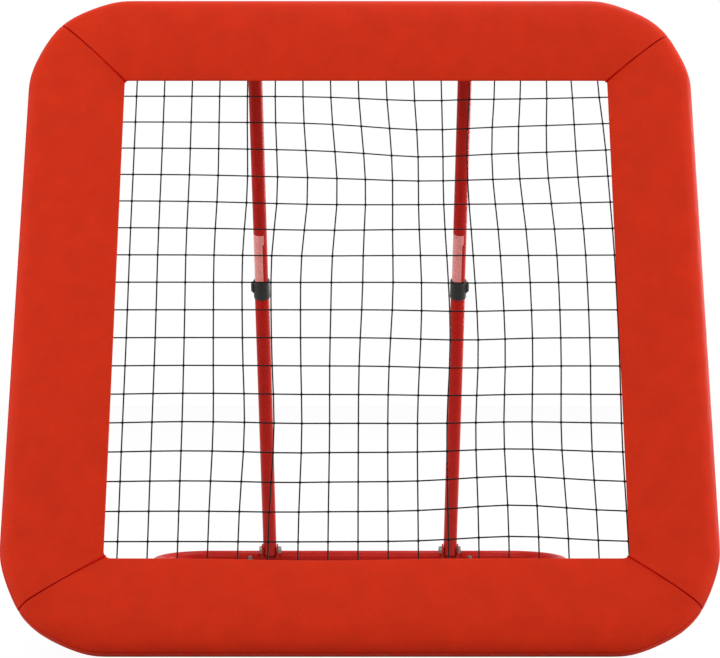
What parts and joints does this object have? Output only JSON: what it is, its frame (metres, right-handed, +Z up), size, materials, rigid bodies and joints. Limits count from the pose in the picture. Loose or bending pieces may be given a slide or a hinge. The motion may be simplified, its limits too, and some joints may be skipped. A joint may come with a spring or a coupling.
{
  "type": "pitch back rebounder net",
  "caption": "Square padded net frame that leans back over a U-shaped ground frame, held by telescopic rear struts that set its tilt.",
  "frame": {"origin": "on the ground, under the middle of the part's box", "axes": "+X to the player's right across the face, +Y from the face to the rear crossbar, +Z up"},
  "size_m": [0.84, 0.7236, 0.7951],
  "materials": {
    "paint_red": "gloss red powder coat",
    "cover_red": "red coated polyester over foam, satin",
    "net_black": "black knotted twine",
    "elastic_black": "black braided elastic",
    "plastic_black": "black moulded plastic, fine satin",
    "steel": "zinc-plated steel"
  },
  "bodies": {
    "base": {"base_crossbar": "paint_red", "base_corner_left": "paint_red", "base_corner_right": "paint_red", "base_screw_left": "steel", "base_screw_right": "steel", "hinge_sleeve_left": "plastic_black", "hinge_sleeve_right": "plastic_black", "hinge_screw_left": "steel", "hinge_screw_right": "steel", "foot_bracket_left": "paint_red", "foot_bracket_right": "paint_red", "foot_bolt_left": "steel", "foot_bolt_right": "steel", "foot_nut_left": "steel", "foot_nut_right": "steel"},
    "face": {"frame_top": "paint_red", "frame_right": "paint_red", "frame_bottom": "paint_red", "frame_left": "paint_red", "frame_corner_top_right": "paint_red", "frame_corner_bottom_right": "paint_red", "frame_corner_bottom_left": "paint_red", "frame_corner_top_left": "paint_red", "cover_top": "cover_red", "cover_right": "cover_red", "cover_bottom": "cover_red", "cover_left": "cover_red", "lacing_top": "elastic_black", "lacing_right": "elastic_black", "lacing_bottom": "elastic_black", "lacing_left": "elastic_black", "net": "net_black", "top_bracket_left": "paint_red", "top_bracket_right": "paint_red"},
    "lower_strut_left": {"strut_lower_left": "paint_red", "collar_left": "plastic_black"},
    "lower_strut_right": {"strut_lower_right": "paint_red", "collar_right": "plastic_black"},
    "upper_strut_left": {"strut_upper_left": "paint_red", "top_bolt_left": "steel", "top_nut_left": "steel"},
    "upper_strut_right": {"strut_upper_right": "paint_red", "top_bolt_right": "steel", "top_nut_right": "steel"},
    "button_left": {"lock_button_left": "plastic_black"},
    "button_right": {"lock_button_right": "plastic_black"}
  },
  "joints": [
    {"name": "face_tilt", "type": "hinge", "parent": "base", "child": "face", "pos_m": [0, -0.33683, 0.025], "axis": [-1, 0, 0], "range_deg": [0, 26.5]},
    {"name": "strut_swing_left", "type": "hinge", "parent": "base", "child": "lower_strut_left", "pos_m": [-0.1375, 0.33557, 0.02366], "axis": [-1, 0, 0], "range_deg": [0, 17.5]},
    {"name": "strut_swing_right", "type": "hinge", "parent": "base", "child": "lower_strut_right", "pos_m": [0.1375, 0.33557, 0.02366], "axis": [-1, 0, 0], "range_deg": [0, 17.5]},
    {"name": "strut_slide_left", "type": "slide", "parent": "lower_strut_left", "child": "upper_strut_left", "axis": [0, -0.4797, 0.8774], "range_m": [-0.2906, 0]},
    {"name": "strut_slide_right", "type": "slide", "parent": "lower_strut_right", "child": "upper_strut_right", "axis": [0, -0.4797, 0.8774], "range_m": [-0.2906, 0]},
    {"name": "button_press_left", "type": "slide", "parent": "lower_strut_left", "child": "button_left", "axis": [1, 0, 0], "range_m": [0, 0.0013], "stiffness_N_per_m": 900, "springref_m": -0.0015},
    {"name": "button_press_right", "type": "slide", "parent": "lower_strut_right", "child": "button_right", "axis": [-1, 0, 0], "range_m": [0, 0.0013], "stiffness_N_per_m": 900, "springref_m": -0.0015}
  ],
  "couplings": [
    {"joint": "strut_swing_left", "follows": "face_tilt", "ratio": 0.65968},
    {"joint": "strut_swing_right", "follows": "face_tilt", "ratio": 0.65968},
    {"joint": "strut_slide_left", "follows": "face_tilt", "m_per_rad": -0.62803},
    {"joint": "strut_slide_right", "follows": "face_tilt", "m_per_rad": -0.62803}
  ]
}
